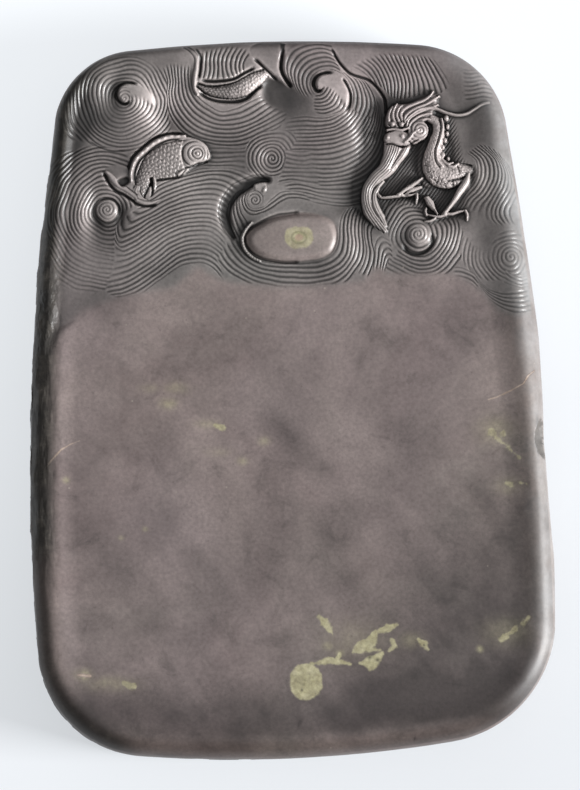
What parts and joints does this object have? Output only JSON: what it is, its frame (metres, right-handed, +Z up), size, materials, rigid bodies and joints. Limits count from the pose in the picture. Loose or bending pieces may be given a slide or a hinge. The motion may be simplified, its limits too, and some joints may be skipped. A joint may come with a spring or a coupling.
{
  "type": "ink stone",
  "caption": "Large carved ink stone with a dished grinding field, olive mineral eyes and a head of waves with a dragon, a carp and a sun disc in relief.",
  "frame": {"origin": "middle of the resting face under the stone", "axes": "+Z up, +Y from the heel of the grinding field to the carved head, +X to the right seen from above"},
  "size_m": [0.1677, 0.23, 0.03],
  "materials": {
    "stone": "matte",
    "olive_mineral": "matte",
    "pale_core": "matte"
  },
  "bodies": {
    "root": {"slab": "stone", "pool_eye_ring": "olive_mineral", "pool_eye_core": "pale_core", "round_eye": "olive_mineral", "round_eye_streak": "olive_mineral", "leaf_eye": "olive_mineral", "branch_eye": "olive_mineral", "blob_eye": "olive_mineral", "hook_eye": "olive_mineral", "small_leaf_eye": "olive_mineral", "edge_eye_1": "olive_mineral", "edge_eye_2": "olive_mineral", "edge_eye_3": "olive_mineral", "upper_eye": "olive_mineral", "lower_eye": "olive_mineral", "upper_fleck": "olive_mineral", "heel_eye": "olive_mineral"}
  },
  "joints": []
}
